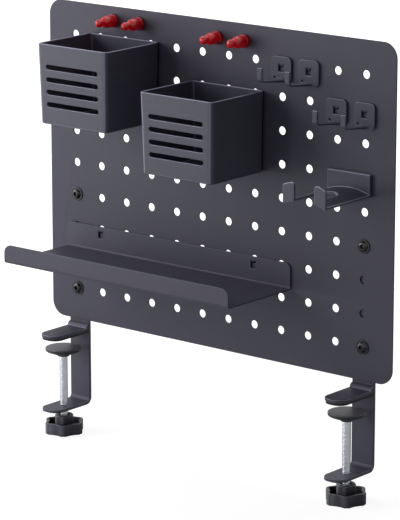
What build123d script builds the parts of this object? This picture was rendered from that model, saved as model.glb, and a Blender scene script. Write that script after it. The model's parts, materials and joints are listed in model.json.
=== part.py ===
"""Clamp-on pegboard for the back edge of a desk, with its hang-on accessories.

The frame has +X to the right, +Y away from the user and +Z up. Its origin lies on the
desk top, half way along the board: z = 0 is the desk's surface under the clamp pads,
and y = 0 is the back face of the board, where the desk's edge meets the clamp brackets.
"""
from build123d import *
import os
from math import cos, radians, sin, sqrt

# Pegboard sheet
hole_pitch = 32.0
hole_columns = 12
hole_rows = 9
hole_diameter = 8.0
side_margin = 34.0
end_margin = 32.0
board_thickness = 1.5
board_corner_radius = 15.0
board_lift = 13.0  # from the desk top to the board's lower edge

# Clamp brackets: a bent strip behind the board, with a jaw welded on above it
bracket_inset = 34.0  # from the board's side to the middle of the strip
strip_width = 25.0
strip_thickness = 3.0
strip_corner_radius = 6.0
strip_overhang = 16.0  # strip above its upper bolt
bend_radius = 4.0
throat = 71.0  # from the desk top down to the lower jaw
jaw_reach = 49.5
jaw_nose_radius = 11.0
weld_size = 4.0
pad_thickness = 2.3
pad_inset = 0.8

# Bolts that hold the board on the brackets
bolt_rows = (5, 8)
bolt_diameter = 6.0
bolt_clearance = 0.3
bolt_length = 12.0
head_diameter = 10.5
head_height = 3.3
flange_diameter = 13.6
flange_thickness = 1.0
socket_flats = 4.0
socket_depth = 1.8
nut_flats = 10.0
nut_height = 4.8
nut_flange_diameter = 14.2
nut_flange_thickness = 1.2

# Clamp screws, feet and knobs
screw_setback = 24.5  # from the brackets' front faces to the screws
screw_diameter = 8.0
screw_clearance = 0.1
clamp_opening = 11.5  # gap between pad and foot as the clamps are set here
foot_diameter = 36.0
foot_rim = 3.4
foot_depth = 9.0
foot_hub_diameter = 12.0
foot_pad_diameter = 32.0
foot_pad_thickness = 1.6
foot_pad_recess = 1.2
pivot_diameter = 6.0
pivot_length = 5.0
pivot_clearance = 0.05
pivot_end_gap = 0.3
knob_diameter = 40.0
knob_height = 11.5
knob_lobes = 6
knob_scallop_radius = 19.0
knob_scallop_depth = 2.8
knob_lobe_radius = 1.8
knob_wall = 2.4
knob_floor = 3.0
knob_turn = 9.0
knob_edge_radius = 0.8
collar_gap = 7.0  # from the lower jaw down to the knob's collar
collar_diameter = 18.5
collar_height = 7.0
collar_bore = 12.0
collar_bore_depth = 3.0
screw_in_knob = 14.0

# Hanging tabs, the same on every accessory
hang_gap = 0.3  # between an accessory's back and the board
tab_width = 5.6
tab_rest = 0.05
tab_drop = 2.9
tab_bend = 0.6
tab_kerf = 0.35
window_height = 8.1

# Cups: width and depth at the rim
cup_width = 88.0
cup_depth = 78.5
cup_height = 78.0
cup_wall = 2.0
cup_side_draft = 1.8
cup_front_draft = 2.0
cup_corner_radius = 5.0
cup_foot_radius = 2.0
cup_rim_radius = 0.7
cup_rim_above_hole = 3.5
cup_tab_thickness = 2.0
cup_slots = 4
cup_slot_length = 65.5
cup_slot_height = 5.0
cup_slot_pitch = 12.1
cup_first_slot = 22.0
cup_places = ((2, 0), (6, 1))

# Tray
tray_length = 280.0
tray_depth = 94.0
tray_thickness = 1.5
tray_bend = 2.0
tray_lip = 19.0
tray_lip_lean = 0.0
tray_back = 26.0
tray_back_above_hole = 3.0
tray_back_corner = 6.0
tray_lip_corner = 8.5
tray_column = 4
tray_row = 6
tray_tab_columns = (1, 7)

# Headphone holder
holder_width = 48.5
holder_reach = 70.3
holder_thickness = 2.6
holder_back_thickness = 3.5
holder_back_height = 18.8
holder_rise = 4.5
holder_notch_width = 22.8
holder_notch_depth = 43.0
holder_tab_height = 15.5
holder_tab_thickness = 3.0
holder_tab_corner = 3.0
holder_above_hole = 4.4
holder_columns = (10, 11)
holder_row = 3

# Single hooks
hook_plate_width = 23.5
hook_plate_height = 24.2
hook_plate_corner = 5.0
hook_plate_above_hole = 6.2
hook_thickness = 2.0
hook_arm_width = 5.5
hook_arm_reach = 36.0
hook_arm_slope = 7.5
hook_tip_height = 13.5
hook_bend = 2.0
hook_pin_hole = 2.4
hook_pin_hole_side = 7.3
hook_pin_hole_drop = 14.1
hook_places = ((8, 0), (9, 0), (10, 1), (11, 1))

# Push-pin magnets: places are from the middle of the board and from the top row of holes
pin_places = ((-126.5, 18.1), (-93.4, 18.7), (2.9, 15.6), (35.5, 15.8))
pin_gap = 0.2
pin_base_diameter = 12.8
pin_base_length = 3.4
pin_waist_diameter = 10.6
pin_body_diameter = 11.8
pin_body_length = 12.0
pin_neck_diameter = 5.6
pin_ball_diameter = 7.6
pin_length = 25.0
magnet_diameter = 8.0
magnet_thickness = 2.0

# Worked out from the sizes above
board_width = (hole_columns - 1) * hole_pitch + 2 * side_margin
board_height = (hole_rows - 1) * hole_pitch + 2 * end_margin
bracket_x = board_width / 2 - bracket_inset
jaw_top = pad_thickness + strip_thickness
tab_seat = sqrt((hole_diameter / 2) ** 2 - (tab_width / 2) ** 2) - tab_rest
accessory_back = board_thickness + hang_gap
foot_top = -clamp_opening
foot_bottom = foot_top - foot_depth
screw_top = foot_bottom - pivot_end_gap
collar_top = -throat - strip_thickness - collar_gap
knob_top = collar_top - collar_height
knob_base = knob_top - knob_height
sides = (("left", -1), ("right", 1))


def column_x(column):
    """X of a column of holes, counted from the left."""
    return (column - (hole_columns - 1) / 2) * hole_pitch


def row_z(row):
    """Z of a row of holes, counted from the top."""
    return board_lift + end_margin + (hole_rows - 1 - row) * hole_pitch


def save(builder, name):
    """Label a finished piece and write it under its own name."""
    builder.part.label = name
    export_step(builder.part, f"parts/{name}.step")


def bent_strip(points, radius, thickness):
    """Section of a strip of even thickness that follows points, with rounded bends."""
    with BuildLine() as middle:
        FilletPolyline(*points, radius=radius)
    trace(middle.line, line_width=thickness)


def jaw_plan(x, inset, back):
    """Plan of a jaw with parallel sides, from back forward to its nose."""
    reach = jaw_reach - inset
    with Locations((x, (back - reach) / 2)):
        Rectangle(strip_width - 2 * inset, reach + back)


def round_nose(plan, inset):
    """Round the two front corners of a jaw's plan into a broad nose."""
    fillet(plan.vertices().group_by(Axis.Y)[0], jaw_nose_radius - inset)


def hanging_tab(x, z_hole, plate_thickness, thickness):
    """Tab bent back from a plate, through a hole and down behind the board."""
    z_mid = z_hole - tab_seat + thickness / 2
    y_root = -accessory_back - plate_thickness / 2
    y_nib = hang_gap + thickness / 2
    bend = tab_bend + thickness / 2
    with BuildSketch(Plane.YZ.offset(x - tab_width / 2)) as section:
        points = (
            (y_root, z_mid + bend + thickness / 4),
            (y_root, z_mid),
            (y_nib, z_mid),
            (y_nib, z_mid - thickness / 2 - tab_drop),
        )
        bent_strip(points, bend, thickness)
    extrude(section.sketch, amount=tab_width)


def tab_window(x, z_hole, plate_thickness, thickness):
    """Window that a lanced tab leaves in its plate."""
    top = z_hole - tab_seat + tab_bend + thickness
    with BuildSketch(Plane.XZ.offset(accessory_back)) as opening:
        with Locations((x, top - window_height / 2)):
            Rectangle(tab_width + 2 * tab_kerf, window_height)
    extrude(opening.sketch, amount=plate_thickness, mode=Mode.SUBTRACT)


# The board: a flat sheet with rounded corners and a square grid of holes
with BuildPart() as pegboard_panel:
    with BuildSketch(Plane.XZ):
        with Locations((0, board_lift + board_height / 2)):
            RectangleRounded(board_width, board_height, board_corner_radius)
            with GridLocations(hole_pitch, hole_pitch, hole_columns, hole_rows):
                Circle(hole_diameter / 2, mode=Mode.SUBTRACT)
    extrude(amount=board_thickness)


def clamp_bracket(x):
    """Strip bolted behind the board, bent forward below the desk into the lower jaw."""
    top = row_z(bolt_rows[0]) + strip_overhang
    y_mid = strip_thickness / 2
    z_jaw = -throat - strip_thickness / 2
    with BuildPart() as bracket:
        with BuildSketch(Plane.YZ.offset(x - strip_width / 2)):
            points = ((y_mid, top), (y_mid, z_jaw), (-jaw_reach, z_jaw))
            bent_strip(points, bend_radius + strip_thickness / 2, strip_thickness)
        extrude(amount=strip_width)
        fillet(bracket.edges().filter_by(Axis.Y).group_by(Axis.Z)[-1], strip_corner_radius)
        with BuildSketch(Plane.XY.offset(-throat - strip_thickness)) as plan:
            jaw_plan(x, 0, strip_thickness)
            round_nose(plan, 0)
        extrude(amount=top + throat + strip_thickness, mode=Mode.INTERSECT)
        with BuildSketch(Plane.XY.offset(-throat - strip_thickness)):
            with Locations((x, -screw_setback)):
                Circle(screw_diameter / 2 + screw_clearance)
        extrude(amount=strip_thickness, mode=Mode.SUBTRACT)
        with BuildSketch(Plane.XZ.offset(-strip_thickness)):
            with Locations(*[(x, row_z(row)) for row in bolt_rows]):
                Circle(bolt_diameter / 2 + bolt_clearance)
        extrude(amount=strip_thickness, mode=Mode.SUBTRACT)
    return bracket


def upper_jaw(x):
    """Jaw on the desk top, welded to the strip's front along a concave bead."""
    with BuildPart() as jaw:
        with BuildSketch(Plane.XY.offset(pad_thickness)) as plan:
            jaw_plan(x, 0, 0)
            round_nose(plan, 0)
        extrude(amount=strip_thickness)
        with BuildSketch(Plane.YZ.offset(x - strip_width / 2)):
            with BuildLine():
                Line((-weld_size, jaw_top), (0, jaw_top))
                Line((0, jaw_top), (0, jaw_top + weld_size))
                RadiusArc((0, jaw_top + weld_size), (-weld_size, jaw_top), -weld_size)
            make_face()
        extrude(amount=strip_width)
    return jaw


def jaw_pad(x):
    """Rubber pad under the upper jaw, a little inside its outline."""
    with BuildPart() as pad:
        with BuildSketch() as plan:
            jaw_plan(x, pad_inset, -pad_inset)
            round_nose(plan, pad_inset)
        extrude(amount=pad_thickness)
    return pad


def bracket_bolts(x):
    """Flanged button-head bolts with hexagon sockets, one through each bolt hole."""
    face = -board_thickness
    with BuildPart() as bolts:
        for row in bolt_rows:
            z = row_z(row)
            crown = face - head_height
            with BuildSketch(Plane.XY.offset(z)):
                with BuildLine():
                    Line((x, crown), (x + socket_flats / 2 + 0.8, crown))
                    dome_edge = (x + head_diameter / 2, face - flange_thickness)
                    RadiusArc((x + socket_flats / 2 + 0.8, crown), dome_edge, -head_height)
                    Polyline(
                        dome_edge,
                        (x + flange_diameter / 2, face - flange_thickness),
                        (x + flange_diameter / 2, face),
                        (x + bolt_diameter / 2, face),
                        (x + bolt_diameter / 2, face + bolt_length),
                        (x, face + bolt_length),
                        (x, crown),
                    )
                make_face()
            revolve(axis=Axis((x, 0, z), (0, 1, 0)))
            with BuildSketch(Plane.XZ.offset(-crown)):
                with Locations((x, z)):
                    RegularPolygon(socket_flats / 2, 6, major_radius=False)
            extrude(amount=-socket_depth, mode=Mode.SUBTRACT)
    return bolts


def bracket_nuts(x):
    """Flanged nuts behind the strip."""
    bore = bolt_diameter / 2 + 0.05
    with BuildPart() as nuts:
        for row in bolt_rows:
            with BuildSketch(Plane.XZ.offset(-strip_thickness)):
                with Locations((x, row_z(row))):
                    Circle(nut_flange_diameter / 2)
                    Circle(bore, mode=Mode.SUBTRACT)
            extrude(amount=-nut_flange_thickness)
            with BuildSketch(Plane.XZ.offset(-strip_thickness - nut_flange_thickness)):
                with Locations((x, row_z(row))):
                    RegularPolygon(nut_flats / 2, 6, major_radius=False)
                    Circle(bore, mode=Mode.SUBTRACT)
            extrude(amount=-nut_height)
    return nuts


def foot_disc(x):
    """Dished disc on the screw's end, with a hub below and a seat for its pad above."""
    rim_top = foot_top - foot_pad_thickness + foot_pad_recess
    rim = foot_diameter / 2
    seat = foot_pad_diameter / 2 + screw_clearance
    bore = pivot_diameter / 2 + pivot_clearance
    bore_top = screw_top + pivot_length + pivot_end_gap
    with BuildPart() as disc:
        with BuildSketch(Plane.XZ.offset(screw_setback)):
            with BuildLine():
                Polyline(
                    (x + bore, bore_top),
                    (x, bore_top),
                    (x, foot_top - foot_pad_thickness),
                    (x + seat, foot_top - foot_pad_thickness),
                    (x + seat, rim_top),
                    (x + rim, rim_top),
                    (x + rim, rim_top - foot_rim / 2),
                )
                rim_foot = (x + rim - foot_rim / 2, rim_top - foot_rim)
                RadiusArc((x + rim, rim_top - foot_rim / 2), rim_foot, foot_rim / 2)
                hub = x + foot_hub_diameter / 2
                RadiusArc(rim_foot, (hub, foot_bottom + foot_rim / 2), foot_diameter)
                Polyline(
                    (hub, foot_bottom + foot_rim / 2),
                    (hub, foot_bottom),
                    (x + bore, foot_bottom),
                    (x + bore, bore_top),
                )
            make_face()
        revolve(axis=Axis((x, -screw_setback, 0), (0, 0, 1)))
    return disc


def foot_pad(x):
    """Rubber disc set into the foot."""
    with BuildPart() as pad:
        with BuildSketch(Plane.XY.offset(foot_top - foot_pad_thickness)):
            with Locations((x, -screw_setback)):
                Circle(foot_pad_diameter / 2)
        extrude(amount=foot_pad_thickness)
        fillet(pad.edges().group_by(Axis.Z)[-1], 0.4)
    return pad


def clamp_screw(x):
    """Screw with a reduced end that turns in the foot; its other end is in the knob."""
    screw_base = collar_top - screw_in_knob
    with BuildPart() as screw:
        with BuildSketch(Plane.XY.offset(screw_base)):
            with Locations((x, -screw_setback)):
                Circle(screw_diameter / 2)
        extrude(amount=screw_top - screw_base)
        with BuildSketch(Plane.XY.offset(screw_top)):
            with Locations((x, -screw_setback)):
                Circle(pivot_diameter / 2)
        extrude(amount=pivot_length)
    return screw


def lobed_outline(x, inset):
    """Round outline with shallow scallops between its lobes."""
    scallop = knob_scallop_radius + inset
    distance = knob_diameter / 2 - knob_scallop_depth + knob_scallop_radius
    with Locations((x, -screw_setback)):
        Circle(knob_diameter / 2 - inset)
        half_step = 180 / knob_lobes
        with PolarLocations(distance, knob_lobes, start_angle=knob_turn + half_step):
            Circle(scallop, mode=Mode.SUBTRACT)


def knob(x):
    """Hollow lobed knob: an open ring around a collar that takes the screw."""
    with BuildPart() as body:
        with BuildSketch(Plane.XY.offset(knob_base)) as outline:
            lobed_outline(x, 0)
            fillet(outline.vertices(), knob_lobe_radius)
        extrude(amount=knob_height)
        fillet(body.edges().group_by(Axis.Z)[0], knob_edge_radius)
        with BuildSketch(Plane.XY.offset(knob_base + knob_floor)) as hollow:
            lobed_outline(x, knob_wall)
            fillet(hollow.vertices(), knob_lobe_radius / 2)
        extrude(amount=knob_height - knob_floor, mode=Mode.SUBTRACT)
        with BuildSketch(Plane.XY.offset(knob_base + knob_floor)):
            with Locations((x, -screw_setback)):
                Circle(collar_diameter / 2)
        extrude(amount=collar_top - knob_base - knob_floor)
        chamfer(body.edges().group_by(Axis.Z)[-1], 1.0)
        with BuildSketch(Plane.XY.offset(collar_top)):
            with Locations((x, -screw_setback)):
                Circle(collar_bore / 2)
        extrude(amount=-collar_bore_depth, mode=Mode.SUBTRACT)
        with BuildSketch(Plane.XY.offset(collar_top)):
            with Locations((x, -screw_setback)):
                Circle(screw_diameter / 2)
        extrude(amount=-screw_in_knob, mode=Mode.SUBTRACT)
    return body


def cup_section(x, level, inset):
    """Level outline of a cup, at a height that is a share of its whole height."""
    width = cup_width - 2 * cup_side_draft * (1 - level) - 2 * inset
    depth = cup_depth - cup_front_draft * (1 - level) - 2 * inset
    with Locations((x, -accessory_back - inset - depth / 2)):
        RectangleRounded(width, depth, cup_corner_radius - inset)


def cup(column, row):
    """Open cup with drafted sides and a slotted front, hung on two tabs."""
    x = column_x(column)
    z_hole = row_z(row)
    z_rim = z_hole + cup_rim_above_hole
    z_foot = z_rim - cup_height
    with BuildPart() as body:
        with BuildSketch(Plane.XY.offset(z_foot)):
            cup_section(x, 0, 0)
        with BuildSketch(Plane.XY.offset(z_rim)):
            cup_section(x, 1, 0)
        loft()
        fillet(body.edges().group_by(Axis.Z)[0], cup_foot_radius)
        with BuildSketch(Plane.XY.offset(z_foot + cup_wall)):
            cup_section(x, cup_wall / cup_height, cup_wall)
        with BuildSketch(Plane.XY.offset(z_rim)):
            cup_section(x, 1, cup_wall)
        loft(mode=Mode.SUBTRACT)
        fillet(body.edges().group_by(Axis.Z)[-1], cup_rim_radius)
        first = z_rim - cup_first_slot
        with BuildSketch(Plane.XZ.offset(cup_depth / 2)):
            with Locations(*[(x, first - i * cup_slot_pitch) for i in range(cup_slots)]):
                SlotOverall(cup_slot_length, cup_slot_height)
        extrude(amount=cup_depth, mode=Mode.SUBTRACT)
        for step in (-1, 1):
            hanging_tab(column_x(column + step), z_hole, cup_wall, cup_tab_thickness)
    return body


def tray():
    """Long tray bent from one sheet, open at its ends, with lanced tabs in its back."""
    x = column_x(tray_column)
    z_hole = row_z(tray_row)
    z_top = z_hole + tray_back_above_hole
    z_floor = z_top - tray_back
    y_back = -accessory_back - tray_thickness / 2
    y_lip = -accessory_back - tray_depth + tray_thickness / 2
    z_mid = z_floor + tray_thickness / 2
    lean = tray_lip * sin(radians(tray_lip_lean))
    with BuildPart() as body:
        with BuildSketch(Plane.YZ.offset(x - tray_length / 2)):
            points = (
                (y_back, z_top),
                (y_back, z_mid),
                (y_lip, z_mid),
                (y_lip - lean, z_floor + tray_lip * cos(radians(tray_lip_lean))),
            )
            bent_strip(points, tray_bend + tray_thickness / 2, tray_thickness)
        extrude(amount=tray_length)
        fillet(body.edges().filter_by(Axis.Y).group_by(Axis.Z)[-1], tray_back_corner)
        lip_corners = body.edges().filter_by(Axis.Y).group_by(Axis.Y)[0]
        fillet(lip_corners.group_by(Axis.Z)[-1], tray_lip_corner)
        for column in tray_tab_columns:
            tab_window(column_x(column), z_hole, tray_thickness, tray_thickness)
            hanging_tab(column_x(column), z_hole, tray_thickness, tray_thickness)
    return body


def arch_band(x, crown, low, high):
    """Band between two copies of the saddle's arch, low and high from its crown line."""
    half = holder_width / 2
    with BuildLine() as outline:
        left_low = (x - half, crown - holder_rise + low)
        right_low = (x + half, crown - holder_rise + low)
        left_high = (x - half, crown - holder_rise + high)
        right_high = (x + half, crown - holder_rise + high)
        ThreePointArc(left_low, (x, crown + low), right_low)
        Line(right_low, right_high)
        ThreePointArc(right_high, (x, crown + high), left_high)
        Line(left_high, left_low)
    make_face(outline.edges())


def headphone_holder():
    """Arched saddle on a back plate, notched in front, with two turned-up ends."""
    x = (column_x(holder_columns[0]) + column_x(holder_columns[-1])) / 2
    z_hole = row_z(holder_row)
    z_top = z_hole + holder_above_hole
    crown = z_top - holder_back_height + holder_rise
    half = holder_width / 2
    y_front = accessory_back + holder_reach
    with BuildPart() as body:
        with BuildSketch(Plane.XZ.offset(accessory_back)):
            arch_band(x, crown, -holder_thickness, 0)
        extrude(amount=holder_reach)
        with BuildSketch(Plane.XZ.offset(accessory_back)):
            with BuildLine():
                left = (x - half, crown - holder_rise - holder_thickness)
                right = (x + half, crown - holder_rise - holder_thickness)
                ThreePointArc(left, (x, crown - holder_thickness), right)
                Polyline(right, (x + half, z_top), (x - half, z_top), left)
            make_face()
        extrude(amount=holder_back_thickness)
        with BuildSketch(Plane.XZ.offset(y_front - holder_tab_thickness)):
            arch_band(x, crown, -holder_thickness, holder_tab_height)
        extrude(amount=holder_tab_thickness)
        notch_end = -y_front + holder_notch_depth
        with BuildSketch(Plane.XY.offset(crown - holder_back_height)):
            with BuildLine():
                w = holder_notch_width / 2
                Line((x - w, -y_front - 1), (x - w, notch_end - w))
                ThreePointArc((x - w, notch_end - w), (x, notch_end), (x + w, notch_end - w))
                Polyline(
                    (x + w, notch_end - w),
                    (x + w, -y_front - 1),
                    (x - w, -y_front - 1),
                )
            make_face()
        extrude(amount=3 * holder_back_height, mode=Mode.SUBTRACT)
        tab_edges = body.edges().filter_by(Axis.Y).group_by(Axis.Y)[0]
        fillet(tab_edges.filter_by(lambda e: e.center().Z > crown + 5), holder_tab_corner)
        for column in holder_columns:
            hanging_tab(column_x(column), z_hole, holder_back_thickness, holder_thickness - 1)
    return body


def hook(column, row):
    """Plate with a lanced tab behind and a narrow arm in front that turns up at its end."""
    x = column_x(column)
    z_hole = row_z(row)
    z_top = z_hole + hook_plate_above_hole
    z_foot = z_top - hook_plate_height
    y_plate = -accessory_back - hook_thickness / 2
    run = hook_arm_reach - board_thickness - hang_gap - hook_thickness
    z_arm = z_foot + hook_thickness / 2
    z_end = z_arm + run * sin(radians(hook_arm_slope))
    y_tip = y_plate - run
    with BuildPart() as body:
        with BuildSketch(Plane.XZ.offset(accessory_back)):
            with Locations((x, z_top - hook_plate_height / 2)):
                RectangleRounded(hook_plate_width, hook_plate_height, hook_plate_corner)
            with Locations((x - hook_pin_hole_side, z_hole - hook_pin_hole_drop)):
                Circle(hook_pin_hole / 2, mode=Mode.SUBTRACT)
        extrude(amount=hook_thickness)
        with BuildSketch(Plane.YZ.offset(x - hook_arm_width / 2)):
            points = (
                (y_plate, z_arm + hook_plate_corner),
                (y_plate, z_arm),
                (y_tip, z_end),
                (y_tip, z_end + hook_tip_height - hook_thickness / 2),
            )
            bent_strip(points, hook_bend + hook_thickness / 2, hook_thickness)
        extrude(amount=hook_arm_width)
        tab_window(x, z_hole, hook_thickness, hook_thickness)
        hanging_tab(x, z_hole, hook_thickness, hook_thickness)
    return body


def magnet_pin(x, z):
    """Push-pin shaped handle, with a pocket in its foot for the magnet."""
    foot = -board_thickness - pin_gap
    body_end = foot - pin_base_length - pin_body_length
    ball_radius = pin_ball_diameter / 2
    ball_centre = foot - pin_length + ball_radius
    neck = pin_neck_diameter / 2
    neck_reach = sqrt(ball_radius**2 - neck**2)
    pocket = magnet_diameter / 2 + 0.05
    base = pin_base_diameter / 2
    with BuildPart() as pin:
        with BuildSketch(Plane.XY.offset(z)):
            with BuildLine():
                Polyline(
                    (x, ball_centre - ball_radius),
                    (x, foot - magnet_thickness),
                    (x + pocket, foot - magnet_thickness),
                    (x + pocket, foot),
                    (x + base, foot),
                    (x + base, foot - pin_base_length + 0.8),
                )
                base_end = (x + base - 0.8, foot - pin_base_length)
                RadiusArc((x + base, foot - pin_base_length + 0.8), base_end, 0.8)
                waist = (x + pin_waist_diameter / 2, foot - pin_base_length)
                Line(base_end, waist)
                belly = (x + pin_body_diameter / 2, foot - pin_base_length - pin_body_length * 0.45)
                shoulder = (x + neck, body_end)
                Spline(waist, belly, shoulder, tangents=((0.3, -1), (-1, -0.35)))
                ball_foot = (x + neck, ball_centre + neck_reach)
                Line(shoulder, ball_foot)
                ThreePointArc(
                    ball_foot,
                    (x + ball_radius, ball_centre),
                    (x, ball_centre - ball_radius),
                )
            make_face()
        revolve(axis=Axis((x, 0, z), (0, 1, 0)))
    return pin


def pin_magnet(x, z):
    """Disc magnet in a pin's foot."""
    with BuildPart() as magnet:
        with BuildSketch(Plane.XZ.offset(board_thickness + pin_gap)):
            with Locations((x, z)):
                Circle(magnet_diameter / 2)
        extrude(amount=magnet_thickness)
    return magnet


os.makedirs("parts", exist_ok=True)
save(pegboard_panel, "pegboard_panel")
for side, sign in sides:
    x_clamp = sign * bracket_x
    save(clamp_bracket(x_clamp), f"{side}_clamp_bracket")
    save(upper_jaw(x_clamp), f"{side}_upper_jaw")
    save(jaw_pad(x_clamp), f"{side}_jaw_pad")
    save(bracket_bolts(x_clamp), f"{side}_bracket_bolts")
    save(bracket_nuts(x_clamp), f"{side}_bracket_nuts")
    save(foot_disc(x_clamp), f"{side}_foot_disc")
    save(foot_pad(x_clamp), f"{side}_foot_pad")
    save(clamp_screw(x_clamp), f"{side}_clamp_screw")
    save(knob(x_clamp), f"{side}_knob")
for (side, _), (column, row) in zip(sides, cup_places):
    save(cup(column, row), f"{side}_cup")
save(tray(), "tray")
save(headphone_holder(), "headphone_holder")
for number, (column, row) in enumerate(hook_places, start=1):
    save(hook(column, row), f"hook_{number}")
for number, (x_pin, above) in enumerate(pin_places, start=1):
    save(magnet_pin(x_pin, row_z(0) + above), f"pin_{number}")
    save(pin_magnet(x_pin, row_z(0) + above), f"pin_magnet_{number}")
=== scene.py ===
import json
import math
import bpy
import bmesh
from mathutils import Matrix, Vector
from mathutils.bvhtree import BVHTree


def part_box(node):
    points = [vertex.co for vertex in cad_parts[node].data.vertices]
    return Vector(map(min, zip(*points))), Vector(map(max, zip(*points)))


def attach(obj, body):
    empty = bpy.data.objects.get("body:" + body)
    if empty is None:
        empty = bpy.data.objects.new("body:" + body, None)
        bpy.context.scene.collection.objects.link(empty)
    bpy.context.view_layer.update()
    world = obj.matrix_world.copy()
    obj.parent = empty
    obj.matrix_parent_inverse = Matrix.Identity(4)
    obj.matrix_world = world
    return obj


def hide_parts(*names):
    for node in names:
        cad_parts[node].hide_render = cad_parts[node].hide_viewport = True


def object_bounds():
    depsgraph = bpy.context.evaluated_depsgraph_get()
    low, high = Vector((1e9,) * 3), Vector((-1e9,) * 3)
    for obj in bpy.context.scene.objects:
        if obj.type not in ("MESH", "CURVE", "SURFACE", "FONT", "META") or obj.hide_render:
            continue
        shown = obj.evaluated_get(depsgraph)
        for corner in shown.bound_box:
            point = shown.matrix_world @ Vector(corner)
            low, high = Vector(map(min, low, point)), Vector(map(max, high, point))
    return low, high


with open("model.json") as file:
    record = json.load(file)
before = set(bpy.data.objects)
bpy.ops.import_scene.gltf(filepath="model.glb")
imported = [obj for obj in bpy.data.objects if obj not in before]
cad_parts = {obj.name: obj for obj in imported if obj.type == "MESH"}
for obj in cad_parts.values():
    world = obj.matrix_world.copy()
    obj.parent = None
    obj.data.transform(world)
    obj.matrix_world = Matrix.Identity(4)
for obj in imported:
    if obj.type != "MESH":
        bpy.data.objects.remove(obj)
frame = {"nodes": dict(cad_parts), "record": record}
nodes = frame["nodes"]
cadBox = [list(corner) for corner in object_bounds()]
mm = 0.001
sides = ("left", "right")


class Wire:
    # one socket of a shader or geometry tree, so that sums can be written as sums
    def __init__(self, tree, socket=None):
        self.tree = tree
        self.socket = socket

    def node(self, kind, settings=None, inputs=None, output=0):
        made = self.tree.nodes.new(kind)
        for key, value in (settings or {}).items():
            setattr(made, key, value)
        for key, value in (inputs or {}).items():
            for part in value if isinstance(value, list) else [value]:
                if isinstance(part, Wire):
                    self.tree.links.new(part.socket, made.inputs[key])
                else:
                    made.inputs[key].default_value = part
        return Wire(self.tree, made.outputs[output])

    def math(self, operation, first, second=0.0, third=0.0):
        return self.node("ShaderNodeMath", {"operation": operation},
                         {0: first, 1: second, 2: third})

    def __add__(self, other):
        return self.math("ADD", self, other)

    def __radd__(self, other):
        return self.math("ADD", other, self)

    def __sub__(self, other):
        return self.math("SUBTRACT", self, other)

    def __rsub__(self, other):
        return self.math("SUBTRACT", other, self)

    def __mul__(self, other):
        return self.math("MULTIPLY", self, other)

    def __rmul__(self, other):
        return self.math("MULTIPLY", other, self)

    def __truediv__(self, other):
        return self.math("DIVIDE", self, other)


def toLinear(red, green, blue):
    # a colour as a picture shows it, 0 to 255, to the shader's linear values
    def one(value):
        value /= 255.0
        return value / 12.92 if value <= 0.04045 else ((value + 0.055) / 1.055) ** 2.4
    return (one(red), one(green), one(blue))


def startMaterial(name):
    material = bpy.data.materials.new(name)
    material.use_nodes = True
    material.node_tree.nodes.clear()
    return material, Wire(material.node_tree)


def endMaterial(material, shader):
    output = material.node_tree.nodes.new("ShaderNodeOutputMaterial")
    material.node_tree.links.new(shader.socket, output.inputs["Surface"])
    return material


def blend(wire, mask, low, high):
    # low and high are colours or wires
    low = low if isinstance(low, Wire) else (*low, 1.0)
    high = high if isinstance(high, Wire) else (*high, 1.0)
    return wire.node("ShaderNodeMix", {"data_type": "RGBA"}, {0: mask, 6: low, 7: high}, output=2)


def scaled(colour, factor):
    return tuple(min(1.0, part * factor) for part in colour)


def noise(wire, place, size, detail=2.0, distortion=0.0):
    return wire.node("ShaderNodeTexNoise", {},
                     {"Vector": place, "Scale": 1 / size,
                      "Detail": detail, "Distortion": distortion})


def spread(wire, mask, low, high, start=0.3, end=0.7):
    return wire.node("ShaderNodeMapRange", {}, {"Value": mask, "From Min": start, "From Max": end,
                                                "To Min": low, "To Max": high})


maskLook = {
    "samples": 6,
    "wornTop": 0.6,
    "wornSpan": (0.0, 0.25),
    "crestSpan": (0.15, 0.5),
    "sheenFade": (0.9, 0.995),
    "sheenRise": (0.72, 0.9),
    "creviceSpan": (0.05, 0.75),
}


def edgeMasks(wire, radius, look=maskLook):
    # painted highlight masks: 1 along corners and 0 on flats, and the corners that face up; the
    # edge attribute adds painted highlight on rolled edges and rims
    rounded = wire.node("ShaderNodeBevel", {"samples": look["samples"]}, {"Radius": radius})
    plain = wire.node("ShaderNodeNewGeometry", output="True Normal")
    along = wire.node("ShaderNodeVectorMath", {"operation": "DOT_PRODUCT"},
                      {0: rounded, 1: plain}, output="Value")
    rolled = wire.node("ShaderNodeAttribute", {"attribute_name": "edge"}, output="Fac")
    turned = spread(wire, 1.0 - along, 0.0, look["wornTop"], *look["wornSpan"])
    edgeGlint = rolled.math("MAXIMUM", rolled, turned)
    parts = wire.tree.nodes.new("ShaderNodeSeparateXYZ")
    wire.tree.links.new(rounded.socket, parts.inputs[0])
    upward = Wire(wire.tree, parts.outputs["Z"])
    crest = edgeGlint * spread(wire, upward, 0.0, 1.0, *look["crestSpan"])
    return edgeGlint, crest, rounded


def cornerSheen(wire, look=maskLook):
    # painted highlight: 1 on the part of a moulded corner that still looks ahead
    plain = wire.node("ShaderNodeNewGeometry", output="Normal")
    parts = wire.tree.nodes.new("ShaderNodeSeparateXYZ")
    wire.tree.links.new(plain.socket, parts.inputs[0])
    ahead = 0.0 - Wire(wire.tree, parts.outputs["Y"])
    return (spread(wire, ahead, 1.0, 0.0, *look["sheenFade"])
            * spread(wire, ahead, 0.0, 1.0, *look["sheenRise"]))


def crevice(wire, reach, look=maskLook):
    # painted shade mask: 0 deep in windows, slots and folds, 1 on open faces
    openShare = wire.node("ShaderNodeAmbientOcclusion", {"samples": look["samples"]},
                          {"Distance": reach}, output="AO")
    return spread(wire, openShare, 0.0, 1.0, *look["creviceSpan"])


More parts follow.
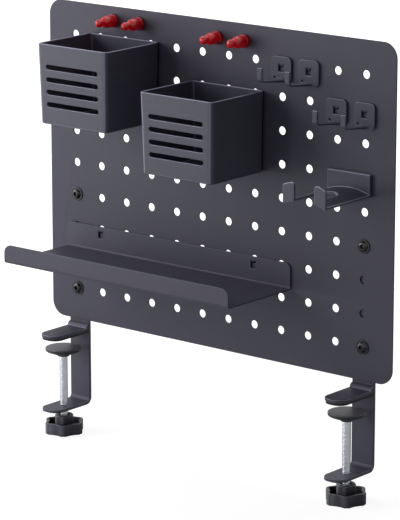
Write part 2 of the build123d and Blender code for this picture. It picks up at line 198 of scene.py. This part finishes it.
powderLook = {
    "speckSize": 0.55 * mm,
    "peelSize": 1.6 * mm,
    "cloudSize": 60 * mm,
    "speckDepth": 0.22,
    "cloudDepth": 0.18,
    "roughness": (0.44, 0.58),
    "shine": 0.30,
    "bump": 0.12,
    "edgeRadius": 0.5 * mm,
    "edgeShare": 0.8,
    "edgeLight": 2.6,
    "crestLight": 6.0,
    "edgePolish": 0.5,
    "creviceReach": 5 * mm,
    "creviceShade": 0.22,
    "tones": (0.72, 1.28),
    "bumpDepth": 0.06 * mm,
    "bumpShares": (0.6, 0.4),
}


def powderCoat(name, colour, look=powderLook):
    # fine matt powder coat: grainy, with a soft orange peel, a painted highlight on the edges and
    # painted shade in crevices
    material, wire = startMaterial(name)
    place = wire.node("ShaderNodeTexCoord", output="Object")
    speck = noise(wire, place, look["speckSize"], 1.0)
    peel = noise(wire, place, look["peelSize"])
    cloud = noise(wire, place, look["cloudSize"], 3.0)
    edgeGlint, crest, rounded = edgeMasks(wire, look["edgeRadius"])
    shade = 0.5 + (speck - 0.5) * look["speckDepth"] + (cloud - 0.5) * look["cloudDepth"]
    low, high = look["tones"]
    base = blend(wire, shade, scaled(colour, low), scaled(colour, high))
    # painted shade in crevices, windows and folds
    base = blend(wire, crevice(wire, look["creviceReach"]),
                 scaled(colour, look["creviceShade"]), base)
    # painted highlight along the edges, stronger on edges that face up
    base = blend(wire, edgeGlint * look["edgeShare"], base, scaled(colour, look["edgeLight"]))
    base = blend(wire, crest, base, scaled(colour, look["crestLight"]))
    rough = spread(wire, peel, *look["roughness"]) * (1.0 - edgeGlint * look["edgePolish"])
    peelShare, speckShare = look["bumpShares"]
    bump = wire.node("ShaderNodeBump", {}, {"Strength": look["bump"], "Distance": look["bumpDepth"],
                                            "Height": peel * peelShare + speck * speckShare,
                                            "Normal": rounded})
    shader = wire.node("ShaderNodeBsdfPrincipled", {},
                       {"Base Color": base, "Roughness": rough,
                        "Normal": bump, "Specular IOR Level": look["shine"]})
    return endMaterial(material, shader)


plasticLook = {
    "grainSize": 0.35 * mm,
    "flowSize": 35 * mm,
    "roughness": (0.36, 0.46),
    "shine": 0.28,
    "bump": 0.10,
    "edgeRadius": 0.6 * mm,
    "edgeShare": 0.9,
    "edgeLight": 3.2,
    "crestLight": 6.5,
    "sheenLight": 3.2,
    "streakDepth": 0.48,
    "streakSize": 1.2 * mm,
    "drawScale": (0.03, 0.03, 1.0),
    "grainDepth": 0.2,
    "flowDepth": 0.25,
    "flowTwist": 0.6,
    "tones": (0.75, 1.25),
    "bumpDepth": 0.04 * mm,
    "edgePolish": 0.55,
    "creviceReach": 8 * mm,
    "creviceShade": 0.3,
}


def mouldedPlastic(name, colour, look=plasticLook):
    # satin moulded plastic with a spark-eroded grain, faint flow clouds and polished edges with a
    # painted highlight, a painted sheen on corners and painted shade in crevices
    material, wire = startMaterial(name)
    place = wire.node("ShaderNodeTexCoord", output="Object")
    fine = noise(wire, place, look["grainSize"])
    flow = noise(wire, place, look["flowSize"], distortion=look["flowTwist"])
    edgeGlint, crest, rounded = edgeMasks(wire, look["edgeRadius"])
    drawn = wire.node("ShaderNodeMapping", {}, {"Vector": place, "Scale": look["drawScale"]})
    streak = noise(wire, drawn, look["streakSize"], 3.0)
    shade = 0.5 + (fine - 0.5) * look["grainDepth"] + (flow - 0.5) * look["flowDepth"]
    shade = shade + (streak - 0.5) * look["streakDepth"]
    low, high = look["tones"]
    base = blend(wire, shade, scaled(colour, low), scaled(colour, high))
    # painted highlight on the part of a corner that looks ahead
    base = blend(wire, cornerSheen(wire), base, scaled(colour, look["sheenLight"]))
    # painted shade in crevices, windows and folds
    base = blend(wire, crevice(wire, look["creviceReach"]),
                 scaled(colour, look["creviceShade"]), base)
    # painted highlight along the edges, stronger on edges that face up
    base = blend(wire, edgeGlint * look["edgeShare"], base, scaled(colour, look["edgeLight"]))
    base = blend(wire, crest, base, scaled(colour, look["crestLight"]))
    rough = spread(wire, flow, *look["roughness"]) * (1.0 - edgeGlint * look["edgePolish"])
    bump = wire.node("ShaderNodeBump", {}, {"Strength": look["bump"], "Distance": look["bumpDepth"],
                                            "Height": fine, "Normal": rounded})
    shader = wire.node("ShaderNodeBsdfPrincipled", {},
                       {"Base Color": base, "Roughness": rough,
                        "Normal": bump, "Specular IOR Level": look["shine"]})
    return endMaterial(material, shader)


steelLook = {
    "cloudSize": 6 * mm,
    "markSize": 0.25 * mm,
    "edgeRadius": 0.2 * mm,
    "bump": 0.05,
    "bumpDepth": 0.02 * mm,
    "tones": (0.82, 1.1),
    "roughSpan": (0.8, 1.3),
    "coatRoughness": 0.08,
}


def platedSteel(name, colour, roughness, metallic=1.0, coat=0.0, look=steelLook):
    # plated steel with a faint cloudy tarnish and fine turning marks
    material, wire = startMaterial(name)
    place = wire.node("ShaderNodeTexCoord", output="Object")
    cloud = noise(wire, place, look["cloudSize"], 3.0)
    fine = noise(wire, place, look["markSize"], 1.0)
    rounded = wire.node("ShaderNodeBevel", {"samples": maskLook["samples"]},
                        {"Radius": look["edgeRadius"]})
    bump = wire.node("ShaderNodeBump", {}, {"Strength": look["bump"], "Distance": look["bumpDepth"],
                                            "Height": fine, "Normal": rounded})
    low, high = look["tones"]
    smooth, rough = (roughness * share for share in look["roughSpan"])
    shader = wire.node("ShaderNodeBsdfPrincipled", {},
                       {"Base Color": blend(wire, cloud, scaled(colour, low), scaled(colour, high)),
                        "Roughness": spread(wire, cloud, smooth, rough),
                        "Metallic": metallic, "Normal": bump,
                        "Coat Weight": coat, "Coat Roughness": look["coatRoughness"]})
    return endMaterial(material, shader)


glossLook = {
    "flowSize": 5 * mm,
    "hazeSize": 0.8 * mm,
    "bump": 0.04,
    "bumpDepth": 0.05 * mm,
    "tones": (0.8, 1.15),
    "roughness": (0.12, 0.2),
    "depthGlow": 0.9,
    "glowRadius": (0.008, 0.0008, 0.0008),
    "shine": 0.35,
    "coat": 0.25,
    "coatRoughness": 0.04,
}


def glossyPlastic(name, colour, look=glossLook):
    # bright polished plastic, with slow flow clouds and a fine haze in its gloss
    material, wire = startMaterial(name)
    place = wire.node("ShaderNodeTexCoord", output="Object")
    flow = noise(wire, place, look["flowSize"])
    haze = noise(wire, place, look["hazeSize"], 3.0)
    bump = wire.node("ShaderNodeBump", {}, {"Strength": look["bump"],
                                            "Distance": look["bumpDepth"], "Height": haze})
    low, high = look["tones"]
    shader = wire.node("ShaderNodeBsdfPrincipled", {},
                       {"Base Color": blend(wire, flow, scaled(colour, low), scaled(colour, high)),
                        "Roughness": spread(wire, haze, *look["roughness"]), "Normal": bump,
                        "Subsurface Weight": look["depthGlow"],
                        "Subsurface Radius": look["glowRadius"],
                        "Subsurface Scale": 1.0, "Specular IOR Level": look["shine"],
                        "Coat Weight": look["coat"], "Coat Roughness": look["coatRoughness"]})
    return endMaterial(material, shader)


rubberLook = {
    "dustSize": 1.4 * mm,
    "bump": 0.12,
    "bumpDepth": 0.05 * mm,
    "tones": (0.8, 1.3),
    "shine": 0.3,
}


def mattRubber(name, colour, roughness=(0.55, 0.75), look=rubberLook):
    # matt rubber with a fine dusty mottle
    material, wire = startMaterial(name)
    place = wire.node("ShaderNodeTexCoord", output="Object")
    dust = noise(wire, place, look["dustSize"], 4.0)
    bump = wire.node("ShaderNodeBump", {}, {"Strength": look["bump"],
                                            "Distance": look["bumpDepth"], "Height": dust})
    low, high = look["tones"]
    shader = wire.node("ShaderNodeBsdfPrincipled", {},
                       {"Base Color": blend(wire, dust, scaled(colour, low), scaled(colour, high)),
                        "Roughness": spread(wire, dust, *roughness), "Normal": bump,
                        "Specular IOR Level": look["shine"]})
    return endMaterial(material, shader)


finishes = {
    "board": powderCoat("slatePowderCoat", toLinear(76, 75, 90)),
    "clamp": powderCoat("clampPowderCoat", toLinear(82, 81, 95)),
    "tray": powderCoat("trayPowderCoat", toLinear(82, 81, 95)),
    "hook": powderCoat("hookPowderCoat", toLinear(80, 80, 94)),
    "foot": powderCoat("footPowderCoat", toLinear(58, 58, 64)),
    "cup": mouldedPlastic("cupSlatePlastic", toLinear(86, 86, 100)),
    "holder": mouldedPlastic("holderSlatePlastic", toLinear(90, 90, 104)),
    "knob": mouldedPlastic("knobDarkPlastic", toLinear(74, 74, 82)),
    "bolt": platedSteel("blackOxideBolt", toLinear(26, 26, 29), 0.24, metallic=0.4, coat=0.4),
    "nut": platedSteel("zincNut", (0.62, 0.63, 0.66), 0.28),
    "screw": platedSteel("zincScrew", (0.68, 0.72, 0.78), 0.14),
    "magnet": platedSteel("nickelMagnet", (0.70, 0.68, 0.66), 0.14),
    "pin": glossyPlastic("redGlossPlastic", toLinear(252, 10, 34)),
    "pad": mattRubber("blackPadRubber", toLinear(38, 38, 41)),
    "footPad": mattRubber("greyFootPad", toLinear(116, 116, 126), (0.35, 0.5)),
}
print("stage: finishes made")

nodeFinish = {
    "pegboard_panel": "board",
    "clamp_bracket": "clamp",
    "upper_jaw": "clamp",
    "jaw_pad": "pad",
    "bracket_bolts": "bolt",
    "bracket_nuts": "nut",
    "foot_disc": "foot",
    "foot_pad": "footPad",
    "clamp_screw": "screw",
    "knob": "knob",
    "cup": "cup",
    "tray": "tray",
    "headphone_holder": "holder",
    "hook": "hook",
    "pin_magnet": "magnet",
    "pin": "pin",
}


def finishOf(name):
    return next(finishes[finish] for key, finish in nodeFinish.items() if key in name)


bodyOf = {name: body for body, names in frame["record"]["behaviour"]["bodies"].items()
          for name in names}
for name, piece in nodes.items():
    piece.data.materials.clear()
    piece.data.materials.append(finishOf(name))
print("stage: CAD nodes finished")


def link(piece):
    bpy.context.scene.collection.objects.link(piece)
    return piece


def standFor(piece, name):
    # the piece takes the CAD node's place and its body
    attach(piece, bodyOf[name])
    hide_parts(name)


def startTree(name, sizes):
    # a geometry tree with a named input for each size
    tree = bpy.data.node_groups.new(name, "GeometryNodeTree")
    tree.interface.new_socket("Geometry", in_out="OUTPUT", socket_type="NodeSocketGeometry")
    for label, value in sizes.items():
        kind = "NodeSocketInt" if isinstance(value, int) else "NodeSocketFloat"
        tree.interface.new_socket(label, in_out="INPUT", socket_type=kind)
    entry = tree.nodes.new("NodeGroupInput")
    return tree, Wire(tree), {label: Wire(tree, entry.outputs[label]) for label in sizes}


def endTree(wire, shape, finish):
    shape = wire.node("GeometryNodeRealizeInstances", {}, {"Geometry": shape})
    shape = wire.node("GeometryNodeSetMaterial", {}, {"Geometry": shape, "Material": finish})
    leave = wire.tree.nodes.new("NodeGroupOutput")
    wire.tree.links.new(shape.socket, leave.inputs["Geometry"])


def settle(piece):
    # turn what the modifiers make into a plain mesh, and take the modifiers off
    depsgraph = bpy.context.evaluated_depsgraph_get()
    grown = bpy.data.meshes.new_from_object(piece.evaluated_get(depsgraph))
    piece.modifiers.clear()
    piece.data = grown
    return piece


bevelLook = {
    "segments": 2,
    "angle": 35.0,
    "flatWeight": 100,
}


def roundEdges(piece, width, look=bevelLook):
    bevel = piece.modifiers.new("roundEdges", "BEVEL")
    bevel.width = width
    bevel.segments = look["segments"]
    bevel.limit_method = "ANGLE"
    bevel.angle_limit = math.radians(look["angle"])
    bevel.use_clamp_overlap = False
    flat = piece.modifiers.new("flatShading", "WEIGHTED_NORMAL")
    flat.mode = "FACE_AREA"
    flat.weight = look["flatWeight"]
    flat.keep_sharp = True


def grow(name, tree, sizes, edge=0.0):
    piece = link(bpy.data.objects.new(name, bpy.data.meshes.new(name)))
    shaper = piece.modifiers.new("shape", "NODES")
    shaper.node_group = tree
    for item in tree.interface.items_tree:
        if item.in_out == "INPUT":
            shaper[item.identifier] = sizes[item.name]
    if edge:
        roundEdges(piece, edge)
    return settle(piece)


boardLook = {
    "columns": 12,
    "rows": 9,
    "pitch": 32 * mm,
    "holeRadius": 4 * mm,
    "holeSides": 36,
    "cornerRadius": 15 * mm,
    "cornerSteps": 12,
    "edgeRadius": 0.28 * mm,
    "mergeGap": 0.01 * mm,
}


def makeBoardTree(sizes):
    # punched sheet: a rounded outline with a grid of holes, filled and given its thickness
    tree, wire, given = startTree("punchedSheet", sizes)
    frameLine = wire.node("GeometryNodeCurvePrimitiveQuadrilateral", {},
                          {"Width": given["Width"], "Height": given["Height"]})
    frameLine = wire.node("GeometryNodeFilletCurve", {"mode": "POLY"},
                          {"Curve": frameLine, "Radius": given["Corner radius"],
                           "Count": given["Corner steps"]})
    grid = wire.node("GeometryNodeMeshGrid", {},
                     {"Size X": (given["Columns"] - 1) * given["Pitch"],
                      "Size Y": (given["Rows"] - 1) * given["Pitch"],
                      "Vertices X": given["Columns"], "Vertices Y": given["Rows"]})
    ring = wire.node("GeometryNodeCurvePrimitiveCircle", {"mode": "RADIUS"},
                     {"Resolution": given["Hole sides"], "Radius": given["Hole radius"]})
    holes = wire.node("GeometryNodeInstanceOnPoints", {}, {"Points": grid, "Instance": ring})
    holes = wire.node("GeometryNodeRealizeInstances", {}, {"Geometry": holes})
    lines = wire.node("GeometryNodeJoinGeometry", {}, {"Geometry": [frameLine, holes]})
    sheet = wire.node("GeometryNodeFillCurve", {"mode": "NGONS"}, {"Curve": lines})
    raised = wire.node("GeometryNodeExtrudeMesh", {"mode": "FACES"},
                       {"Mesh": sheet, "Offset Scale": given["Thickness"], "Individual": False})
    under = wire.node("GeometryNodeFlipFaces", {}, {"Mesh": sheet})
    shell = wire.node("GeometryNodeJoinGeometry", {}, {"Geometry": [raised, under]})
    shell = wire.node("GeometryNodeMergeByDistance", {},
                      {"Geometry": shell, "Distance": boardLook["mergeGap"]})
    lift = wire.node("ShaderNodeCombineXYZ", {}, {"X": given["Middle x"], "Y": given["Back y"],
                                                  "Z": given["Middle z"]})
    shell = wire.node("GeometryNodeTransform", {},
                      {"Geometry": shell, "Translation": lift, "Rotation": (math.pi / 2, 0.0, 0.0)})
    endTree(wire, shell, finishes["board"])
    return tree


def makeBoard(look):
    low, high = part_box("pegboard_panel")
    sizes = {
        "Width": high[0] - low[0],
        "Height": high[2] - low[2],
        "Thickness": high[1] - low[1],
        "Middle x": (low[0] + high[0]) / 2,
        "Middle z": (low[2] + high[2]) / 2,
        "Back y": high[1],
        "Pitch": look["pitch"],
        "Columns": look["columns"],
        "Rows": look["rows"],
        "Hole radius": look["holeRadius"],
        "Hole sides": look["holeSides"],
        "Corner radius": look["cornerRadius"],
        "Corner steps": look["cornerSteps"],
    }
    board = grow("pegboardSheet", makeBoardTree(sizes), sizes, look["edgeRadius"])
    standFor(board, "pegboard_panel")
    return board


board = makeBoard(boardLook)
print("stage: board made,", len(board.data.polygons), "faces")

threadLook = {
    "pitch": 1.25 * mm,
    "depth": 0.14 * mm,
    "grooveHalf": 0.22,
    "ringsPerTurn": 8,
    "around": 28,
    "pivotRadius": 3 * mm,
    "pivotLength": 5 * mm,
    "sharpAngle": 50,
}


def makeThreadTree(sizes):
    # rod with a helical groove: each ring point is drawn in by where it lies in the pitch
    tree, wire, given = startTree("threadedRod", sizes)
    rod = wire.node("GeometryNodeMeshCylinder", {"fill_type": "TRIANGLE_FAN"},
                    {"Vertices": given["Around"], "Side Segments": given["Rings"],
                     "Radius": given["Radius"], "Depth": given["Length"]})
    place = wire.node("GeometryNodeInputPosition")
    parts = wire.tree.nodes.new("ShaderNodeSeparateXYZ")
    wire.tree.links.new(place.socket, parts.inputs[0])
    x, y, z = (Wire(tree, parts.outputs[i]) for i in range(3))
    turn = y.math("ARCTAN2", y, x) / (2 * math.pi)
    phase = z.math("FRACT", z / given["Pitch"] - turn)
    groove = z.math("MAXIMUM", 1.0 - z.math("ABSOLUTE", phase - 0.5) / given["Groove half"], 0.0)
    shrink = 1.0 - groove * given["Depth"] / given["Radius"]
    drawn = wire.node("ShaderNodeCombineXYZ", {}, {"X": x * shrink, "Y": y * shrink, "Z": z})
    rod = wire.node("GeometryNodeSetPosition", {}, {"Geometry": rod, "Position": drawn})
    pivot = wire.node("GeometryNodeMeshCylinder", {"fill_type": "TRIANGLE_FAN"},
                      {"Vertices": given["Around"], "Side Segments": 2,
                       "Radius": given["Pivot radius"], "Depth": given["Pivot length"]})
    rise = wire.node("ShaderNodeCombineXYZ", {},
                     {"Z": (given["Length"] + given["Pivot length"]) / 2})
    pivot = wire.node("GeometryNodeTransform", {}, {"Geometry": pivot, "Translation": rise})
    rod = wire.node("GeometryNodeJoinGeometry", {}, {"Geometry": [rod, pivot]})
    move = wire.node("ShaderNodeCombineXYZ", {}, {"X": given["Middle x"], "Y": given["Middle y"],
                                                  "Z": given["Middle z"]})
    rod = wire.node("GeometryNodeTransform", {}, {"Geometry": rod, "Translation": move})
    endTree(wire, rod, finishes["screw"])
    return tree


def makeScrews(look):
    tree = None
    for side in sides:
        name = f"{side}_clamp_screw"
        low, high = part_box(name)
        length = high[2] - low[2] - look["pivotLength"]
        sizes = {
            "Radius": (high[0] - low[0]) / 2,
            "Length": length,
            "Pitch": look["pitch"],
            "Depth": look["depth"],
            "Groove half": look["grooveHalf"],
            "Around": look["around"],
            "Rings": round(length / look["pitch"] * look["ringsPerTurn"]),
            "Pivot radius": look["pivotRadius"],
            "Pivot length": look["pivotLength"],
            "Middle x": (low[0] + high[0]) / 2,
            "Middle y": (low[1] + high[1]) / 2,
            "Middle z": low[2] + length / 2,
        }
        tree = tree or makeThreadTree(sizes)
        screw = grow(f"{side}ThreadedScrew", tree, sizes)
        screw.data.shade_smooth()
        screw.data.set_sharp_from_angle(angle=math.radians(look["sharpAngle"]))
        standFor(screw, name)
        print("stage:", screw.name, len(screw.data.polygons), "faces")


makeScrews(threadLook)

softLook = {
    # node: radius its sharp edges are rolled to, share of painted highlight there,
    # depth of a rim with painted highlight
    "tray": (0.35 * mm, 0.15, 0.0),
    "headphone_holder": (0.6 * mm, 0.9, 0.8 * mm),
    "left_cup": (0.35 * mm, 0.7, 1.0 * mm),
    "right_cup": (0.35 * mm, 0.7, 1.0 * mm),
    "hook_1": (0.45 * mm, 0.9, 0.0),
    "hook_2": (0.45 * mm, 0.9, 0.0),
    "hook_3": (0.45 * mm, 0.9, 0.0),
    "hook_4": (0.45 * mm, 0.9, 0.0),
    "left_clamp_bracket": (0.4 * mm, 0.3, 0.0),
    "right_clamp_bracket": (0.4 * mm, 0.3, 0.0),
    "left_upper_jaw": (0.4 * mm, 0.6, 0.0),
    "right_upper_jaw": (0.4 * mm, 0.6, 0.0),
    "left_foot_disc": (0.3 * mm, 0.6, 0.0),
    "right_foot_disc": (0.3 * mm, 0.6, 0.0),
    "left_knob": (0.35 * mm, 0.3, 0.0),
    "right_knob": (0.35 * mm, 0.3, 0.0),
}


copyLook = {
    "mergeGap": 0.002 * mm,
    "flatAngle": 0.6,
    "strayShare": 0.6,
    "upFrom": 0.2,
    "sideShare": 0.35,
}


def softCopy(name, radius, pale, rimDepth, look=copyLook):
    # the node's own solid, its flats joined up, with its sharp edges rounded over
    mesh = nodes[name].data.copy()
    shape = bmesh.new()
    shape.from_mesh(mesh)
    bmesh.ops.remove_doubles(shape, verts=shape.verts, dist=look["mergeGap"])
    bmesh.ops.dissolve_limit(shape, angle_limit=math.radians(look["flatAngle"]),
                             verts=shape.verts, edges=shape.edges, delimit={"MATERIAL"})
    shape.to_mesh(mesh)
    solid = BVHTree.FromBMesh(shape)
    shape.free()
    mesh.materials.append(mesh.materials[0])
    words = name.split("_")
    piece = link(bpy.data.objects.new("soft" + "".join(word.capitalize() for word in words), mesh))
    mesh.shade_smooth()
    roundEdges(piece, radius)
    piece.modifiers["roundEdges"].material = 1
    settle(piece)
    for vertex in piece.data.vertices:
        # where tiny edges meet, a rolled corner can stray: it goes back onto the solid
        nearest, _, _, gap = solid.find_nearest(vertex.co)
        if gap > look["strayShare"] * radius:
            vertex.co = nearest
    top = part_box(name)[1][2]
    # the edge attribute is painted highlight: full share on faces that face up, less on side faces
    edge = piece.data.attributes.new("edge", "FLOAT", "FACE")
    for face, share in zip(piece.data.polygons, edge.data):
        facesUp = face.normal.z > look["upFrom"]
        isRim = facesUp and face.center.z > top - rimDepth
        if face.material_index == 1 or isRim:
            share.value = pale if facesUp else look["sideShare"] * pale
        face.material_index = 0
    piece.data.materials.pop(index=1)
    standFor(piece, name)


for name, (radius, pale, rimDepth) in softLook.items():
    softCopy(name, radius, pale, rimDepth)
print("stage: soft edges made")

beadLook = {
    "radius": 0.9 * mm,
    "pale": 0.7,
    "sink": 0.3 * mm,
    "steps": 40,
    "around": 12,
    "plateFront": -5.4 * mm,
    "edgeHeight": 190.6 * mm,
    "crownHeight": 195.1 * mm,
    "sideIn": 1.2 * mm,
}


def makeBeadTree(sizes):
    # moulded fillet where the holder's saddle runs into its back plate: an arc swept by a circle
    tree, wire, given = startTree("saddleFillet", sizes)

    def corner(x, z):
        return wire.node("ShaderNodeCombineXYZ", {},
                         {"X": given[x], "Y": given["Plate y"], "Z": given[z]})

    arc = wire.node("GeometryNodeCurveArc", {"mode": "POINTS"},
                    {"Resolution": given["Steps"], "Start": corner("Left x", "Edge z"),
                     "Middle": corner("Middle x", "Crown z"), "End": corner("Right x", "Edge z")})
    ring = wire.node("GeometryNodeCurvePrimitiveCircle", {"mode": "RADIUS"},
                     {"Resolution": given["Around"], "Radius": given["Radius"]})
    bead = wire.node("GeometryNodeCurveToMesh", {},
                     {"Curve": arc, "Profile Curve": ring, "Fill Caps": True})
    endTree(wire, bead, finishes["holder"])
    return tree


def makeBead(look):
    low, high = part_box("headphone_holder")
    sizes = {
        "Left x": low[0] + look["sideIn"],
        "Right x": high[0] - look["sideIn"],
        "Middle x": (low[0] + high[0]) / 2,
        "Edge z": look["edgeHeight"] - look["sink"],
        "Crown z": look["crownHeight"] - look["sink"],
        "Plate y": look["plateFront"] + look["sink"],
        "Radius": look["radius"],
        "Steps": look["steps"],
        "Around": look["around"],
    }
    bead = grow("saddleFillet", makeBeadTree(sizes), sizes)
    bead.data.shade_smooth()
    # the edge attribute paints a highlight along the whole fillet
    edge = bead.data.attributes.new("edge", "FLOAT", "FACE")
    edge.data.foreach_set("value", [look["pale"]] * len(bead.data.polygons))
    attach(bead, bodyOf["headphone_holder"])


makeBead(beadLook)
print("stage: saddle fillet made")

pinLook = {
    "around": 48,
    "ballSteps": 14,
    "baseRound": 0.9 * mm,
    "flange": 3.4 * mm,
    "waist": 5.6 * mm,
    "belly": 6.0 * mm,
    "bodyLength": 12.0 * mm,
    "neck": 2.8 * mm,
    "ball": 4.0 * mm,
    "pocket": 4.05 * mm,
    "pocketDepth": 2.0 * mm,
    "count": 4,
    "footRound": 0.4 * mm,
    "footStep": 0.1 * mm,
    "flangeStep": 0.05 * mm,
    "roundSteps": 4,
    "bodySteps": 12,
    "bellyRate": 2.5,
    "drawInFrom": 0.4,
    "drawInCurve": 2.2,
    "sharpAngle": 38,
}


def pinProfile(look, radius, length):
    # (radius, distance from the foot) from the pocket's middle, round the foot, to the tip
    points = [(0.0, look["pocketDepth"]), (look["pocket"], look["pocketDepth"]),
              (look["pocket"], 0.0)]
    footRound, footStep = look["footRound"], look["footStep"]
    points += [(radius - footRound, 0.0), (radius - footStep, footStep), (radius, footRound)]
    for step in range(look["roundSteps"] + 1):
        angle = math.pi / 2 * step / look["roundSteps"]
        points.append((radius - look["baseRound"] * (1 - math.cos(angle)),
                       look["flange"] - look["baseRound"] * (1 - math.sin(angle))))
    for step in range(look["bodySteps"] + 1):
        # the body swells out from its waist, then draws in to the neck
        share = step / look["bodySteps"]
        rise = math.sin(math.pi * min(1.0, share * look["bellyRate"]) / 2)
        swell = look["waist"] + (look["belly"] - look["waist"]) * rise
        fall = max(0.0, (share - look["drawInFrom"]) / (1 - look["drawInFrom"]))
        drawn = math.sqrt(1.0 - fall ** look["drawInCurve"])
        points.append((look["neck"] + (swell - look["neck"]) * drawn,
                       look["flange"] + look["flangeStep"] + look["bodyLength"] * share))
    middle = length - look["ball"]
    start = math.asin(look["neck"] / look["ball"])
    for step in range(look["ballSteps"] + 1):
        angle = start + (math.pi - start) * step / look["ballSteps"]
        points.append((look["ball"] * math.sin(angle), middle - look["ball"] * math.cos(angle)))
    points[-1] = (0.0, length)
    return points


def turnedMesh(name, profile, look, foot):
    # turns a profile round the axis that points to the user (-Y) from foot
    shape = bmesh.new()
    around = look["around"]
    rings = []
    for radius, along in profile:
        spots = 1 if radius < 1e-7 else around
        rings.append([shape.verts.new((foot[0] + radius * math.cos(2 * math.pi * i / around),
                                       foot[1] - along,
                                       foot[2] + radius * math.sin(2 * math.pi * i / around)))
                      for i in range(spots)])
    for first, second in zip(rings, rings[1:]):
        for i in range(around):
            loop = [first[i % len(first)], first[(i + 1) % len(first)],
                    second[(i + 1) % len(second)], second[i % len(second)]]
            loop = [vert for k, vert in enumerate(loop) if vert not in loop[:k]]
            shape.faces.new(loop)
    bmesh.ops.recalc_face_normals(shape, faces=shape.faces)
    mesh = bpy.data.meshes.new(name)
    shape.to_mesh(mesh)
    shape.free()
    mesh.shade_smooth()
    mesh.set_sharp_from_angle(angle=math.radians(look["sharpAngle"]))
    return mesh


def makePins(look):
    for number in range(1, look["count"] + 1):
        low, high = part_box(f"pin_{number}")
        foot = ((low[0] + high[0]) / 2, high[1], (low[2] + high[2]) / 2)
        profile = pinProfile(look, (high[0] - low[0]) / 2, high[1] - low[1])
        name = f"pushPin{number}"
        mesh = turnedMesh(name, profile, look, foot)
        pin = link(bpy.data.objects.new(name, mesh))
        pin.data.materials.append(finishes["pin"])
        standFor(pin, f"pin_{number}")


makePins(pinLook)
print("stage: pins turned")

cameraLook = {
    "azimuth": 39.40,
    "elevation": 13.80,
    "distance": 2844.61 * mm,
    "across": -14.44 * mm,
    "up": -70.22 * mm,
    "target": (0.0, -1.5 * mm, 173.0 * mm),
    "lens": 206.9,
    "sensor": 36.0,
    "farClip": 50,
}


def placeCamera(look):
    turn, rise = math.radians(look["azimuth"]), math.radians(look["elevation"])
    back = Vector((math.sin(turn) * math.cos(rise), -math.cos(turn) * math.cos(rise),
                   math.sin(rise)))
    right = Vector((math.cos(turn), math.sin(turn), 0.0))
    up = back.cross(right)
    place = Vector(look["target"]) + back * look["distance"]
    place = place + right * look["across"] + up * look["up"]
    data = bpy.data.cameras.new("camera")
    data.sensor_fit = "VERTICAL"
    data.sensor_height = look["sensor"]
    data.lens = look["lens"]
    data.clip_end = look["farClip"]
    camera = link(bpy.data.objects.new("camera", data))
    facing = Matrix((right, up, back)).transposed().to_4x4()
    camera.matrix_world = Matrix.Translation(place) @ facing
    bpy.context.scene.camera = camera


placeCamera(cameraLook)

stageLook = {
    "floorSize": 30.0,
    "floorDrop": 0.2 * mm,
    "floorColour": 0.92,
    "floorGlow": (0.62, 1.0),
    "glowReach": (0.3, 0.9),
    "glowStrength": 1.42,
    "worldColour": (0.97, 0.98, 1.0, 1.0),
    "worldStrength": 0.085,
    "backdropWhite": 1.0,
}


def whiteToCamera(wire, plain, white):
    # camera, mirror and glass rays see plain white, so the backdrop stays white
    path = wire.tree.nodes.new("ShaderNodeLightPath")
    mask = Wire(wire.tree, path.outputs["Is Camera Ray"])
    for kind in ("Is Glossy Ray", "Is Transmission Ray"):
        mask = mask.math("MAXIMUM", mask, Wire(wire.tree, path.outputs[kind]))
    return wire.node("ShaderNodeMixShader", {}, {0: mask, 1: plain, 2: white})


def makeWorld(look):
    world = bpy.data.worlds.new("studio")
    world.use_nodes = True
    tree = world.node_tree
    tree.nodes.clear()
    wire = Wire(tree)
    light = wire.node("ShaderNodeBackground", {}, {"Color": look["worldColour"],
                                                   "Strength": look["worldStrength"]})
    white = wire.node("ShaderNodeBackground", {}, {"Color": (1.0, 1.0, 1.0, 1.0),
                                                   "Strength": look["backdropWhite"]})
    output = tree.nodes.new("ShaderNodeOutputWorld")
    tree.links.new(whiteToCamera(wire, light, white).socket, output.inputs["Surface"])
    bpy.context.scene.world = world


def makeFloor(look):
    half = look["floorSize"] / 2
    level = cadBox[0][2] - look["floorDrop"]
    mesh = bpy.data.meshes.new("floor")
    corners = [(-half, -half, level), (half, -half, level),
               (half, half, level), (-half, half, level)]
    mesh.from_pydata(corners, [], [(0, 1, 2, 3)])
    floor = link(bpy.data.objects.new("floor", mesh))
    material, wire = startMaterial("paleFloor")
    shade = look["floorColour"]
    plain = wire.node("ShaderNodeBsdfDiffuse", {}, {"Color": (shade, shade, shade, 1.0)})
    white = wire.node("ShaderNodeEmission", {}, {"Color": (1.0, 1.0, 1.0, 1.0),
                                                 "Strength": look["glowStrength"]})
    away = wire.node("ShaderNodeVectorMath", {"operation": "LENGTH"},
                     {0: wire.node("ShaderNodeTexCoord", output="Object")}, output="Value")
    glow = spread(wire, away, *look["floorGlow"], *look["glowReach"])
    seen = wire.node("ShaderNodeLightPath", output="Is Camera Ray") * glow
    mesh.materials.append(endMaterial(material, wire.node("ShaderNodeMixShader", {},
                                                          {0: seen, 1: plain, 2: white})))


lamps = {
    # place, width and height, watts
    "keyLamp": ((-1.10, -0.77, 0.46), (1.1, 1.1), 14.0),
    "fillLamp": ((0.5, -2.6, 0.7), (1.8, 1.8), 1.6),
    "stripLamp": ((-0.52, -1.45, 0.12), (0.14, 0.8), 1.6),
    "topLamp": ((-0.1, 0.35, 1.35), (0.8, 0.3), 3.0),
    "backLamp": ((0.7, 2.0, 0.9), (1.2, 1.2), 4.0),
}

lampTarget = (0.0, -0.03, 0.14)


def placeLamps(table):
    target = Vector(lampTarget)
    for name, (place, (width, height), watts) in table.items():
        data = bpy.data.lights.new(name, "AREA")
        data.shape = "RECTANGLE"
        data.size, data.size_y = width, height
        data.energy = watts
        lamp = link(bpy.data.objects.new(name, data))
        lamp.location = place
        lamp.rotation_euler = (target - Vector(place)).to_track_quat("-Z", "Y").to_euler()


makeWorld(stageLook)
makeFloor(stageLook)
placeLamps(lamps)
bpy.context.scene.view_settings.view_transform = "Standard"
print("stage: camera, floor and lamps placed")
